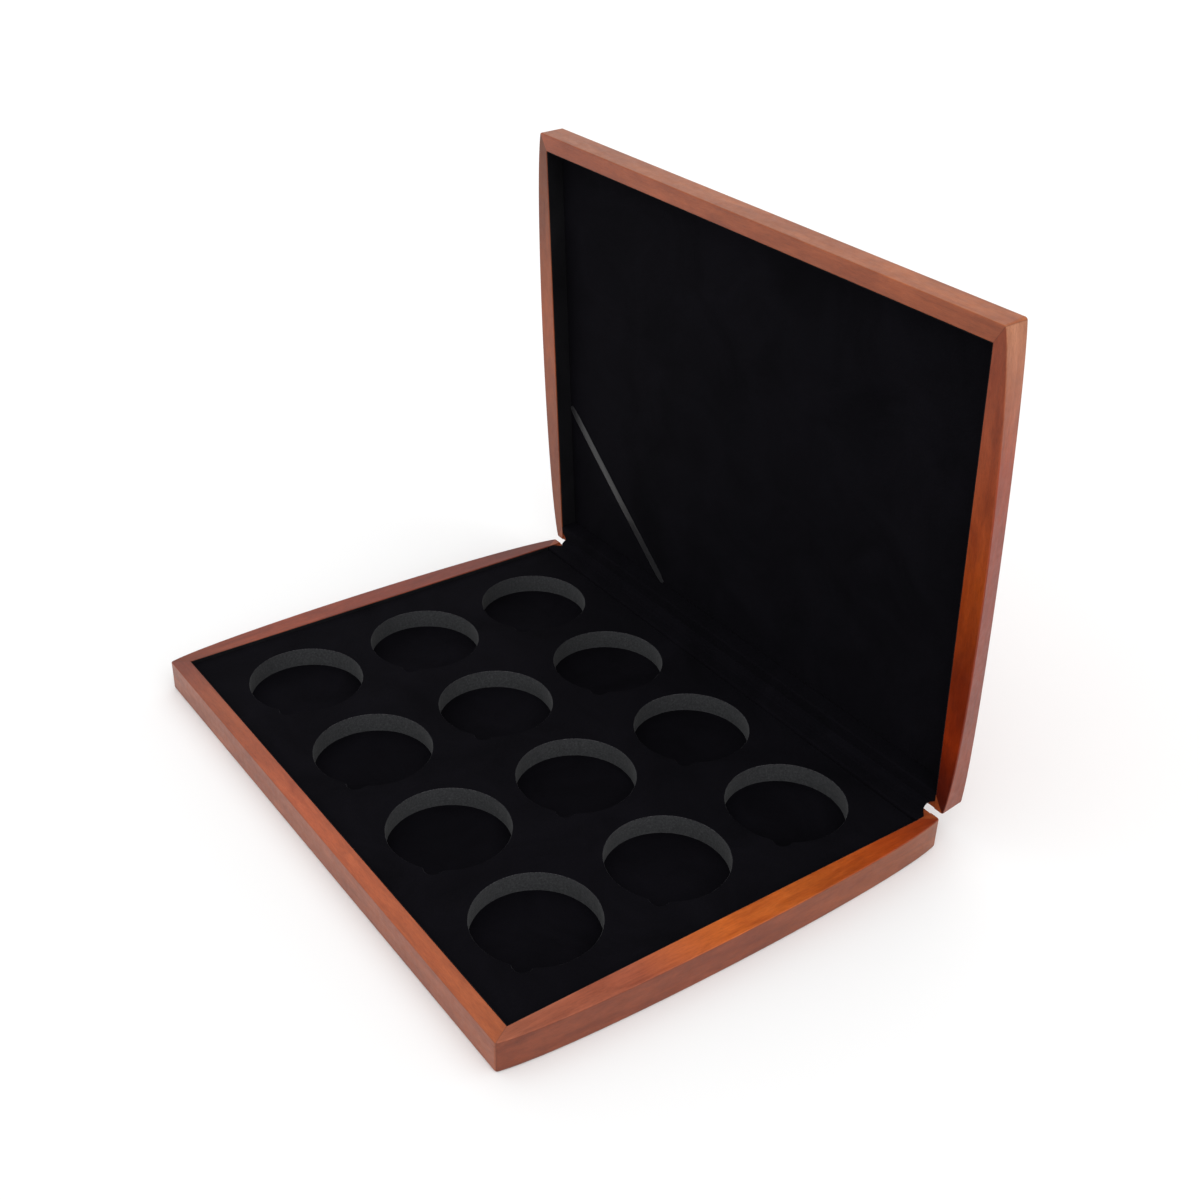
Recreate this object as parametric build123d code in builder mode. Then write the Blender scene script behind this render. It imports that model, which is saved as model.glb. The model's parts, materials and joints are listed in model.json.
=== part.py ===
from build123d import *
from math import atan2, cos, degrees, hypot, radians, sin
import os

# Hinged wooden coin case: a base with twelve wells in a velvet-faced foam insert, and a lined lid.
# Row frame: X runs along the hinge, +Y points at the hinge, +Z is up, and the origin is the centre
# of the underside. Each half is modelled in its own half frame: its rim lies on the plane Z = 0, Z
# runs into the half towards its outer face, and +Y points at the hinge.

# ---------------------------------------------------------------- driving dimensions, millimetres
case_depth = 211.0            # front face to back face
corner_half_width = 137.0     # middle of the case to an outer corner
bow_handle_x = 145.1          # handles of the curve that bows each side outwards
bow_handle_y = 77.0
lid_face_half_width = 136.4   # the same on the lid's outer face, as the lid's sides lean in
lid_face_handle_x = 140.3
opening_width = 265.0         # between the side rails
rail_width = 7.5              # front and back rails
base_height = 14.2
lid_height = 11.8
base_panel_thickness = 2.4
lid_panel_thickness = 3.0
panel_rebate = 2.0            # how far each panel runs in under the rails
panel_gap = 0.05
panel_chamfer = 0.3
corner_ease = 1.4             # rounding of the four upright corners
rim_ease = 0.5                # rounding of the outer rim edge
inner_ease = 0.25             # chamfer of the inner rim edge
face_ease = 1.0               # rounding around the outer face

well_pitch_x = 62.0
well_pitch_y = 61.2
well_columns = 4
well_rows = 3
well_radius = 25.1            # takes a capsule 50 mm across
well_depth = 9.0
well_grid_y = 1.3             # the wells stand this much nearer the hinge than the front
notch_radius = 4.0            # finger notch on the front right of each well
notch_reach = 24.2            # well centre to notch centre
notch_angle = -45.0           # seen from above, 0 along +X

insert_drop = 1.7             # face of the insert below the base's rim
insert_velvet_thickness = 0.3
floor_velvet_thickness = 0.5
lid_drop = 7.9                # face of the lid's velvet below the lid's rim
lid_velvet_thickness = 0.4
lining_thickness = 0.5
lining_edge = 0.3             # upper edge of the wall linings below the rim
lining_recess = 0.65          # how far the hinge-side rails are cut down for the cloth
sheet_gap = 0.1               # around the insert and the lid's board

ribbon_width = 4.5
ribbon_thickness = 0.25
ribbon_lift = 0.05            # above the velvet
ribbon_from_side = 75.5       # reach along the hinge wall, from the left hinge corner
ribbon_from_hinge = 67.5      # reach along the left wall, from the same corner

hinge_setback = 1.2           # axis behind the back face
closing_gap = 0.2             # between the rims when the case is shut
rest_opening = 86.4           # degrees from shut at which the lid stands
hinge_spacing = 160.0
leaf_length = 32.0
leaf_thickness = 0.8
leaf_width = 6.5              # from the back face inwards
barrel_radius = 2.0
barrel_clearance = 0.35
barrel_edge = 1.1             # cloth and leaf plates stop this far inside the back face
pin_radius = 0.8
pin_running_gap = 0.05
knuckle_gap = 0.2
middle_knuckle = 11.6
screw_spacing = 11.0
screw_inset = 3.8             # screws inside the back face
screw_head_radius = 1.5
screw_radius = 0.8
screw_length = 6.0
screw_hole_gap = 0.05
screw_tip = 1.2
slot_width = 0.4
slot_depth = 0.3
pin_overhang = 0.2            # beyond each end of the barrel
pin_chamfer = 0.15

# ------------------------------------------------------------------------------- derived dimensions
half_depth = case_depth / 2
opening_depth = case_depth - 2 * rail_width
inside_width = opening_width - 2 * lining_thickness
inside_depth = opening_depth - 2 * lining_thickness
sheet_width = inside_width - 2 * sheet_gap
sheet_depth = inside_depth - 2 * sheet_gap
foam_top = insert_drop + insert_velvet_thickness
foam_bottom = insert_drop + well_depth
card_top = foam_bottom + floor_velvet_thickness
base_inside = base_height - base_panel_thickness
lid_inside = lid_height - lid_panel_thickness
lid_card_top = lid_drop + lid_velvet_thickness
notch_x = -notch_reach * cos(radians(notch_angle))   # X is reversed in the base's half frame
notch_y = notch_reach * sin(radians(notch_angle))
hinge_y = half_depth + hinge_setback
hinge_offset = -closing_gap / 2          # the axis lies outside each rim plane by half the gap
leaf_top = lining_recess
strap_top = lining_recess - lining_thickness
strap_end = half_depth - barrel_edge

# The base's rim faces up, so its half frame is turned over about Y. The lid's half frame is the
# same plane turned about the hinge axis by the opening angle.
opening = radians(rest_opening)
lid_normal = Vector(0, sin(opening), cos(opening))
lid_hingeward = Vector(0, cos(opening), -sin(opening))
hinge_point = Vector(0, hinge_y, base_height - hinge_offset)
lid_origin = hinge_point - lid_hingeward * hinge_y - lid_normal * hinge_offset
base_frame = Plane(origin=(0, 0, base_height), x_dir=(-1, 0, 0), z_dir=(0, 0, -1))
lid_frame = Plane(origin=lid_origin, x_dir=(1, 0, 0), z_dir=lid_normal)


def finish(name, piece, frame):
    """Place a piece modelled in a half frame, label it and write it to its own file."""
    placed = frame.from_local_coords(piece)
    placed.label = name
    export_step(placed, f"parts/{name}.step")


# --------------------------------------------------------------------------------------- wooden parts
def bowed_outline(plane, half_width, handle_x):
    """Outline of a half on one plane: straight front and back, and sides that bow outwards."""
    with BuildSketch(plane) as outline:
        with BuildLine():
            front = Line((-half_width, -half_depth), (half_width, -half_depth))
            right = Bezier(
                front @ 1,
                (handle_x, -bow_handle_y),
                (handle_x, bow_handle_y),
                (half_width, half_depth),
            )
            Line(right @ 1, (-half_width, half_depth))
            mirror(right, about=Plane.YZ)
        make_face()
    return outline.sketch


def glued_frame(height, panel_thickness, face_half_width, face_handle_x):
    """Whole wooden frame of one half: bowed outside, straight opening, rebate for the panel."""
    rim = bowed_outline(Plane.XY, corner_half_width, bow_handle_x)
    face = bowed_outline(Plane.XY.offset(height), face_half_width, face_handle_x)
    with BuildPart() as frame:
        loft([rim, face], ruled=True)
        fillet(frame.edges().filter_by_position(Axis.Z, height / 3, height * 2 / 3), corner_ease)
        fillet(frame.faces().sort_by(Axis.Z)[0].edges(), rim_ease)
        fillet(frame.faces().sort_by(Axis.Z)[-1].edges(), face_ease)
        with BuildSketch():
            Rectangle(opening_width, opening_depth)
        extrude(amount=height, mode=Mode.SUBTRACT)
        with BuildSketch(Plane.XY.offset(height - panel_thickness)):
            Rectangle(opening_width + 2 * panel_rebate, opening_depth + 2 * panel_rebate)
        extrude(amount=panel_thickness, mode=Mode.SUBTRACT)
        chamfer(frame.faces().sort_by(Axis.Z)[0].inner_wires()[0].edges(), inner_ease)
    return frame.part


def mitre_line(x_sign, y_sign):
    """Inner corner of a mitre, and a point on its line well outside the case."""
    inner = Vector(x_sign * opening_width / 2, y_sign * opening_depth / 2)
    outer = Vector(x_sign * corner_half_width, y_sign * half_depth)
    return inner, inner + (outer - inner) * 4


def rail(frame, first, second):
    """The part of a frame between two of its mitres."""
    first_inner, first_far = mitre_line(*first)
    second_inner, second_far = mitre_line(*second)
    with BuildPart() as piece:
        add(frame)
        with BuildSketch():
            with BuildLine():
                Polyline(first_inner, first_far, second_far, second_inner, close=True)
            make_face()
        extrude(amount=max(base_height, lid_height), mode=Mode.INTERSECT)
    return piece.part


def screw_places():
    """Places of the screws of both hinges, seen from the rim."""
    return [
        (side * hinge_spacing / 2 + step * screw_spacing, half_depth - screw_inset)
        for side in (-1, 1)
        for step in (-1, 0, 1)
    ]


def back_rail(frame):
    """Hinge-side rail, cut down for the cloth and let in for the two hinges and their screws."""
    with BuildPart() as piece:
        add(rail(frame, (1, 1), (-1, 1)))
        with BuildSketch():
            with Locations((0, opening_depth / 2)):
                Rectangle(opening_width, rail_width, align=(Align.CENTER, Align.MIN))
        extrude(amount=lining_recess, mode=Mode.SUBTRACT)
        with BuildSketch(Plane.XY.offset(leaf_top)):
            with GridLocations(hinge_spacing, 1, 2, 1):
                with Locations((0, half_depth - leaf_width)):
                    Rectangle(leaf_length, leaf_width, align=(Align.CENTER, Align.MIN))
        extrude(amount=leaf_thickness, mode=Mode.SUBTRACT)
        for side in (-1, 1):
            with BuildSketch(Plane.YZ.offset(side * hinge_spacing / 2)):
                with Locations((hinge_y, hinge_offset)):
                    Circle(barrel_radius + barrel_clearance)
            extrude(amount=leaf_length / 2 + barrel_clearance, both=True, mode=Mode.SUBTRACT)
        with BuildSketch(Plane.XY.offset(leaf_top)):
            with Locations(*screw_places()):
                Circle(screw_radius + screw_hole_gap)
        extrude(amount=leaf_thickness + screw_length, mode=Mode.SUBTRACT)
    return piece.part


def panel(height, thickness):
    """Thin panel that fills the rebate, its outer edge chamfered so that the joint shows."""
    with BuildPart() as piece:
        with BuildSketch(Plane.XY.offset(height - thickness)):
            Rectangle(
                opening_width + 2 * (panel_rebate - panel_gap),
                opening_depth + 2 * (panel_rebate - panel_gap),
            )
        extrude(amount=thickness)
        chamfer(piece.faces().sort_by(Axis.Z)[-1].edges(), panel_chamfer)
    return piece.part


# ------------------------------------------------------------------------------- cloth, card and foam
def side_lining(x_sign, inside):
    """Strip on the inside of a side rail, from just below the rim to the panel."""
    with BuildPart() as piece:
        with BuildSketch(Plane.XY.offset(lining_edge)):
            with Locations((x_sign * (opening_width - lining_thickness) / 2, 0)):
                Rectangle(lining_thickness, inside_depth)
        extrude(amount=inside - lining_edge)
    return piece.part


def front_lining(inside):
    """Strip on the inside of the front rail, across the whole opening."""
    with BuildPart() as piece:
        with BuildSketch(Plane.XY.offset(lining_edge)):
            with Locations((0, -(opening_depth - lining_thickness) / 2)):
                Rectangle(opening_width, lining_thickness)
        extrude(amount=inside - lining_edge)
    return piece.part


def hinge_lining(inside):
    """Cloth that covers the hinge-side rail and turns down its inside wall."""
    with BuildPart() as piece:
        with BuildSketch(Plane.YZ):
            with BuildLine():
                Polyline(
                    (inside_depth / 2, strap_top),
                    (strap_end, strap_top),
                    (strap_end, lining_recess),
                    (opening_depth / 2, lining_recess),
                    (opening_depth / 2, inside),
                    (inside_depth / 2, inside),
                    close=True,
                )
            make_face()
        extrude(amount=opening_width / 2, both=True)
    return piece.part


def plain_sheet(top, thickness):
    """Sheet that fills the inside of a half."""
    with BuildPart() as piece:
        with BuildSketch(Plane.XY.offset(top)):
            Rectangle(sheet_width, sheet_depth)
        extrude(amount=thickness)
    return piece.part


def welled_sheet(top, thickness):
    """Sheet that fills the inside of the base, cut with the wells and their finger notches."""
    with BuildPart() as piece:
        with BuildSketch(Plane.XY.offset(top)):
            Rectangle(sheet_width, sheet_depth)
            with Locations((0, well_grid_y)):
                with GridLocations(well_pitch_x, well_pitch_y, well_columns, well_rows):
                    Circle(well_radius, mode=Mode.SUBTRACT)
                    with Locations((notch_x, notch_y)):
                        Circle(notch_radius, mode=Mode.SUBTRACT)
        extrude(amount=thickness)
    return piece.part


def ribbon():
    """Flat ribbon across the left hinge corner of the lid, clear of the velvet."""
    corner = Vector(-inside_width / 2, inside_depth / 2)
    middle = corner + Vector(ribbon_from_side, -ribbon_from_hinge) / 2
    slope = degrees(atan2(ribbon_from_hinge, ribbon_from_side))
    reach = hypot(ribbon_from_side, ribbon_from_hinge) + 2 * ribbon_width
    with BuildPart() as piece:
        with BuildSketch(Plane.XY.offset(lid_drop - ribbon_lift - ribbon_thickness)):
            with Locations(middle):
                Rectangle(reach, ribbon_width, rotation=slope)
            Rectangle(sheet_width, sheet_depth, mode=Mode.INTERSECT)
        extrude(amount=ribbon_thickness)
    return piece.part


# -------------------------------------------------------------------------------------------- hinges
def barrel_length(centre, spans, radius, mode):
    """Add or cut lengths of the hinge barrel, each given by its two ends along the leaf."""
    for start, end in spans:
        with BuildSketch(Plane.YZ.offset(centre + start)) as section:
            with Locations((hinge_y, hinge_offset)):
                Circle(radius)
        extrude(section.sketch, amount=end - start, mode=mode)


def hinge_leaf(centre, knuckles, spaces, bore_radius):
    """Leaf of a butt hinge: countersunk plate, and its own knuckles around the pin."""
    with BuildPart() as piece:
        with BuildSketch(Plane.XY.offset(leaf_top)):
            with Locations((centre, hinge_y)):
                Rectangle(
                    leaf_length,
                    leaf_width + hinge_setback,
                    align=(Align.CENTER, Align.MAX),
                )
        extrude(amount=leaf_thickness)
        barrel_length(centre, spaces, barrel_radius + barrel_clearance, Mode.SUBTRACT)
        barrel_length(centre, knuckles, barrel_radius, Mode.ADD)
        barrel_length(centre, [(-leaf_length / 2, leaf_length / 2)], bore_radius, Mode.SUBTRACT)
        drill = Plane(origin=(0, 0, leaf_top), x_dir=(-1, 0, 0), z_dir=(0, 0, -1))
        with Locations(drill):
            with GridLocations(screw_spacing, 1, 3, 1):
                with Locations((-centre, half_depth - screw_inset)):
                    CounterSinkHole(
                        screw_radius + screw_hole_gap,
                        screw_head_radius + screw_hole_gap,
                        depth=leaf_thickness,
                        counter_sink_angle=90,
                    )
    return piece.part


def hinge_pin(centre):
    """Pin through all the knuckles of one hinge, with chamfered ends."""
    with BuildPart() as piece:
        with BuildSketch(Plane.YZ.offset(centre)):
            with Locations((hinge_y, hinge_offset)):
                Circle(pin_radius)
        extrude(amount=leaf_length / 2 + pin_overhang, both=True)
        chamfer(piece.edges().filter_by(GeomType.CIRCLE), pin_chamfer)
    return piece.part


def hinge_screws():
    """Six countersunk wood screws, their heads flush with the leaves."""
    cone = screw_head_radius - screw_radius
    with BuildPart() as screw:
        with BuildSketch(Plane.XZ):
            with BuildLine():
                Polyline(
                    (0, leaf_top),
                    (screw_head_radius, leaf_top),
                    (screw_radius, leaf_top + cone),
                    (screw_radius, leaf_top + screw_length - screw_tip),
                    (0, leaf_top + screw_length),
                    close=True,
                )
            make_face()
        revolve(axis=Axis.Z)
        with BuildSketch(Plane.XY.offset(leaf_top)):
            Rectangle(2 * screw_head_radius, slot_width)
        extrude(amount=slot_depth, mode=Mode.SUBTRACT)
    with BuildPart() as group:
        with Locations(*screw_places()):
            add(screw.part)
    return group.part


# ------------------------------------------------------------------------------------------ assembly
os.makedirs("parts", exist_ok=True)
halves = {
    "base": (base_frame, base_height, base_panel_thickness, base_inside),
    "lid": (lid_frame, lid_height, lid_panel_thickness, lid_inside),
}
face_outlines = {
    "base": (corner_half_width, bow_handle_x),
    "lid": (lid_face_half_width, lid_face_handle_x),
}
for half, (frame, height, thickness, inside) in halves.items():
    wood = glued_frame(height, thickness, *face_outlines[half])
    # The base's half frame is turned over, so its X points at the left of the case.
    right = -1 if half == "base" else 1
    finish(f"{half}_front_rail", rail(wood, (-1, -1), (1, -1)), frame)
    finish(f"{half}_back_rail", back_rail(wood), frame)
    finish(f"{half}_right_rail", rail(wood, (right, -1), (right, 1)), frame)
    finish(f"{half}_left_rail", rail(wood, (-right, -1), (-right, 1)), frame)
    finish(f"{half}_front_lining", front_lining(inside), frame)
    finish(f"{half}_right_lining", side_lining(right, inside), frame)
    finish(f"{half}_left_lining", side_lining(-right, inside), frame)
    finish(f"{half}_hinge_lining", hinge_lining(inside), frame)
    finish(f"{half}_hinge_screws", hinge_screws(), frame)

finish("base_floor_panel", panel(base_height, base_panel_thickness), base_frame)
finish("well_floor_card", plain_sheet(card_top, base_inside - card_top), base_frame)
finish("well_floor_velvet", plain_sheet(foam_bottom, floor_velvet_thickness), base_frame)
finish("foam_insert", welled_sheet(foam_top, foam_bottom - foam_top), base_frame)
finish("insert_velvet", welled_sheet(insert_drop, insert_velvet_thickness), base_frame)

finish("lid_top_panel", panel(lid_height, lid_panel_thickness), lid_frame)
finish("lid_backing_card", plain_sheet(lid_card_top, lid_inside - lid_card_top), lid_frame)
finish("lid_velvet", plain_sheet(lid_drop, lid_velvet_thickness), lid_frame)
finish("certificate_ribbon", ribbon(), lid_frame)

half_middle = middle_knuckle / 2
half_leaf = leaf_length / 2
middle_span = [(-half_middle, half_middle)]
middle_space = [(-half_middle - knuckle_gap, half_middle + knuckle_gap)]
end_spans = [(-half_leaf, -half_middle - knuckle_gap), (half_middle + knuckle_gap, half_leaf)]
end_spaces = [(-half_leaf, -half_middle), (half_middle, half_leaf)]
for name, side in (("left", -1), ("right", 1)):
    centre = side * hinge_spacing / 2
    base_leaf = hinge_leaf(-centre, end_spans, middle_space, pin_radius)
    lid_leaf = hinge_leaf(centre, middle_span, end_spaces, pin_radius + pin_running_gap)
    finish(f"{name}_hinge_base_leaf", base_leaf, base_frame)
    finish(f"{name}_hinge_lid_leaf", lid_leaf, lid_frame)
    finish(f"{name}_hinge_pin", hinge_pin(-centre), base_frame)
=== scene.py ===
"""Looks of the coin display tray: stained wood, velvet, cut foam, satin ribbon and brass.

Lengths are in metres. Base pieces are built in the row frame. Lid pieces are built in the lid's own
frame, where X runs along the hinge, Y points at the hinge and Z runs from the rim into the lid.
"""

import json
from math import atan2, cos, hypot, pi, radians, sin, sqrt

import bmesh
import bpy
from mathutils import Matrix, Vector, noise


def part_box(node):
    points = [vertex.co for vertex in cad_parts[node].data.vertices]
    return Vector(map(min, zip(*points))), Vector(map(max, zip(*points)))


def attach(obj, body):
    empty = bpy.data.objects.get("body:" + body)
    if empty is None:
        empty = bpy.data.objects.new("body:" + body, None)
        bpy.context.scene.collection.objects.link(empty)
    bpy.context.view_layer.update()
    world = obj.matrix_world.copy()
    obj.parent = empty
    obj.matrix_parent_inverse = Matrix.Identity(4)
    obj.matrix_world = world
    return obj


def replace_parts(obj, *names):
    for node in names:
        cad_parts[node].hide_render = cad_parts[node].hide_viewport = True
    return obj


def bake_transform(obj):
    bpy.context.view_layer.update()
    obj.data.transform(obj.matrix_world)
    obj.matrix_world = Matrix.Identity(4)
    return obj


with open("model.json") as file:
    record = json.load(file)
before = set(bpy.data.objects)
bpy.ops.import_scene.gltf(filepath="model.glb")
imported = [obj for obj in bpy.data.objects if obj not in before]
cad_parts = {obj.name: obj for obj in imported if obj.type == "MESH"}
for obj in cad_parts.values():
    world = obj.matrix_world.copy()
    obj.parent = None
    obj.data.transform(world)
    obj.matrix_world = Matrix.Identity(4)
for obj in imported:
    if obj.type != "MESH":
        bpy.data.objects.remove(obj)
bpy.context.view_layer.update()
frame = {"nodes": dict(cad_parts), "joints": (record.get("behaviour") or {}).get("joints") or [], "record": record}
record = frame["record"]
nodes = frame["nodes"]
hinge = frame["joints"][0]

MM = 0.001
TO_MM = 1000                   # metres to millimetres, in shaders
SHARP_ANGLE = radians(50)      # faces that meet at more than this show an edge

# ------------------------------------------------------------------------------------ sizes of the wells
NOTCH_RADIUS = 4.0 * MM
NOTCH_REACH = 24.2 * MM        # well centre to the centre of its finger notch
NOTCH_BEARING = radians(-45)
SIDE_POINTS = 72               # points along each side of the area around one well
SMOOTHINGS = 3                 # rounds of averaging that soften the notch's corners
CUT_WOBBLE = 0.10 * MM         # waviness of the cutter's line
WELL_LIP = 0.26 * MM           # how far the velvet rolls over at a well's edge
LIP_STEPS = 5
STEEP_NORMAL = 0.85            # faces of that lip have a smaller upward normal than this
FOAM_SETBACK = 0.12 * MM       # cut wall of the foam behind the velvet's edge
FOAM_ROLL = 0.3 * MM           # rounding at the foam's outer edges

# ------------------------------------------------------------------------------------ sizes of the cloth
SHEET_ROLL = 0.35 * MM         # rounding at the outer edges of glued cloth
STRIP_ROLL = 0.22 * MM
ROLL_STEPS = 4                 # steps in that rounding
SHEET_STEP = 4 * MM            # mesh width over the middle of a sheet
RIPPLE_MARGIN = 6 * MM         # glued edge over which a sheet's ripple dies away
CLOTH = 0.5 * MM               # thickness of the cloth over the hinge
CLOTH_HALF = CLOTH * 0.48      # half of it, a hair inside the CAD's space
CLOTH_INSET = 0.08 * MM        # gap at its two ends
CLOTH_REACH = 2.45 * MM        # distance it keeps from the hinge axis
CLOTH_WAIST = 3.4 * MM         # how far its side edges draw in over the gap
WAIST_SPREAD = 3.0 * MM        # length over which they do so, past that distance
CLOTH_TURN = 0.45 * MM         # radius of its bend over a rail's edge
CLOTH_LANDING = 3.3 * MM       # where it leaves a rail's top, from the hinge axis
CLOTH_LIFT = radians(160)      # bearing at which it reaches its distance from the axis
CLOTH_LIFT_TANGENT = Vector((0.342, 0.94))    # its direction there
CLOTH_LEAD = 0.7 * MM          # how far it runs straight at both ends of that lift
STRAIGHT_STEPS = 8
TURN_STEPS = 6
LIFT_STEPS = 8
BRIDGE_STEPS = 14
CLOTH_COLUMNS = 120
PUCKER = 0.35 * MM             # depth of the puckers over the gap
PUCKER_SPREAD = 3.4 * MM       # distance from the axis at which they end
RIBBON_WIDTH = 4.5 * MM
RIBBON_THICKNESS = 0.22 * MM
RIBBON_STEPS = 120
RIBBON_LANES = 12
RIBBON_TUCK = 2.5 * MM         # length that dips under at each end
RIBBON_GATHER = 7 * MM         # length over which each end is gathered

# ------------------------------------------------------------------------------------ mitres and lacquer
MITRE_INNER = Vector((132.5, 98.0)) * MM      # ends of each mitre, from the middle of a half
MITRE_OUTER = Vector((137.0, 105.5)) * MM
THIN_LACQUER, LACQUER = 0.22, 0.34            # specular levels

# ------------------------------------------------------------------------------------------- lid's frame
opening = radians(-hinge["range_deg"][0])
axis_point = Vector(hinge["pos_m"])
rim_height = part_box("base_front_rail")[1].z
rim_to_axis = axis_point.z - rim_height
lid_across = Vector((0, cos(opening), -sin(opening)))
lid_normal = Vector((0, sin(opening), cos(opening)))
lid_origin = axis_point - lid_across * axis_point.y + lid_normal * rim_to_axis
LID = Matrix((
    (1, lid_across.x, lid_normal.x, lid_origin.x),
    (0, lid_across.y, lid_normal.y, lid_origin.y),
    (0, lid_across.z, lid_normal.z, lid_origin.z),
    (0, 0, 0, 1),
))
BASE = Matrix.Identity(4)
# The base seen the way the lid is: Z runs down from the rim.
BASE_DOWN = Matrix(((1, 0, 0, 0), (0, 1, 0, 0), (0, 0, -1, rim_height), (0, 0, 0, 1)))


def box_in(node, place):
    """Lowest and highest corner of a CAD node in the frame that place stands for."""
    back = place.inverted()
    points = [back @ vertex.co for vertex in nodes[node].data.vertices]
    return Vector(map(min, zip(*points))), Vector(map(max, zip(*points)))


# ------------------------------------------------------------------------------------------ mesh helpers
def piece(name, points, faces, place, body, material):
    """A mesh object built from points in the frame place, riding on a body unless body is None."""
    mesh = bpy.data.meshes.new(name)
    mesh.from_pydata([place @ Vector(point) for point in points], [], faces)
    shape = bmesh.new()
    shape.from_mesh(mesh)
    bmesh.ops.remove_doubles(shape, verts=shape.verts, dist=0.5e-6)
    bmesh.ops.recalc_face_normals(shape, faces=shape.faces)
    shape.to_mesh(mesh)
    shape.free()
    mesh.shade_smooth()
    mesh.set_sharp_from_angle(angle=SHARP_ANGLE)
    mesh.materials.append(material)
    obj = bpy.data.objects.new(name, mesh)
    bpy.context.scene.collection.objects.link(obj)
    if body:
        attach(obj, body)
    return obj


def ring_faces(first, second, count):
    """Quads between two closed rows of points that start at these indices."""
    return [
        (first + k, first + (k + 1) % count, second + (k + 1) % count, second + k)
        for k in range(count)
    ]


def grid_faces(first, width, height):
    """Quads of a grid of points that starts at this index, row after row."""
    corners = [first + j * width + i for j in range(height - 1) for i in range(width - 1)]
    return [(k, k + 1, k + width + 1, k + width) for k in corners]


def grid_border(width, height):
    """Indices around the edge of a grid of points."""
    return (
        list(range(width))
        + [j * width + width - 1 for j in range(1, height)]
        + [(height - 1) * width + i for i in range(width - 2, -1, -1)]
        + [j * width for j in range(height - 2, 0, -1)]
    )


def spread(start, end, count):
    """Evenly spaced values from start to end, both included, in count steps."""
    return [start + (end - start) * k / count for k in range(count + 1)]


def around(x_cuts, y_cuts, count):
    """Points around a rectangle, counter-clockwise, with count steps between neighbouring cuts."""
    xs, ys = [x_cuts[0]], [y_cuts[0]]
    for low, high in zip(x_cuts, x_cuts[1:]):
        xs += spread(low, high, count)[1:]
    for low, high in zip(y_cuts, y_cuts[1:]):
        ys += spread(low, high, count)[1:]
    return (
        [(x, ys[0]) for x in xs[:-1]]
        + [(xs[-1], y) for y in ys[:-1]]
        + [(x, ys[-1]) for x in reversed(xs[1:])]
        + [(xs[0], y) for y in reversed(ys[1:])]
    )


def pushed_out(loop, distance):
    """The rectangle of a loop, larger by distance on every side."""
    x_low, x_high = min(p[0] for p in loop), max(p[0] for p in loop)
    y_low, y_high = min(p[1] for p in loop), max(p[1] for p in loop)
    return [
        (
            x - distance * (x == x_low) + distance * (x == x_high),
            y - distance * (y == y_low) + distance * (y == y_high),
        )
        for x, y in loop
    ]


# ----------------------------------------------------------------------------------- foam with its wells
wells = [mount for mount in record["mounts"] if mount["kind"] == "bore"]
columns = sorted({mount["pos_m"][0] for mount in wells})
rows = sorted({mount["pos_m"][1] for mount in wells})
well_radius = wells[0]["dims"]["r_mm"] * MM


def well_edge(centre, boundary):
    """Edge of one well and its finger notch, one point for each point of the area's boundary."""
    meeting = (well_radius ** 2 - NOTCH_RADIUS ** 2 + NOTCH_REACH ** 2) / (2 * NOTCH_REACH)
    half_chord = sqrt(well_radius ** 2 - meeting ** 2)
    half_notch = atan2(half_chord, meeting)
    half_swing = atan2(half_chord, meeting - NOTCH_REACH)
    edge = []
    for x, y in boundary:
        bearing = atan2(y - centre[1], x - centre[0])
        turn = (bearing - NOTCH_BEARING + pi) % (2 * pi) - pi
        if abs(turn) <= half_notch:
            swing = NOTCH_BEARING + turn / half_notch * half_swing
            point = Vector((
                NOTCH_REACH * cos(NOTCH_BEARING) + NOTCH_RADIUS * cos(swing),
                NOTCH_REACH * sin(NOTCH_BEARING) + NOTCH_RADIUS * sin(swing),
            ))
        else:
            point = Vector((cos(bearing), sin(bearing))) * well_radius
        ripple = noise.noise(Vector((x, y, centre[0])) * 260)
        edge.append(point * (1 + CUT_WOBBLE * ripple / well_radius))
    for _ in range(SMOOTHINGS):
        edge = [
            (edge[k - 1] + edge[k] * 2 + edge[(k + 1) % len(edge)]) / 4
            for k in range(len(edge))
        ]
    return [point + Vector(centre) for point in edge]


def outward(edge):
    """Unit directions from a well's edge into the sheet around it."""
    directions = []
    for k in range(len(edge)):
        along = edge[(k + 1) % len(edge)] - edge[k - 1]
        directions.append(Vector((along.y, -along.x)).normalized())
    return directions


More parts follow.
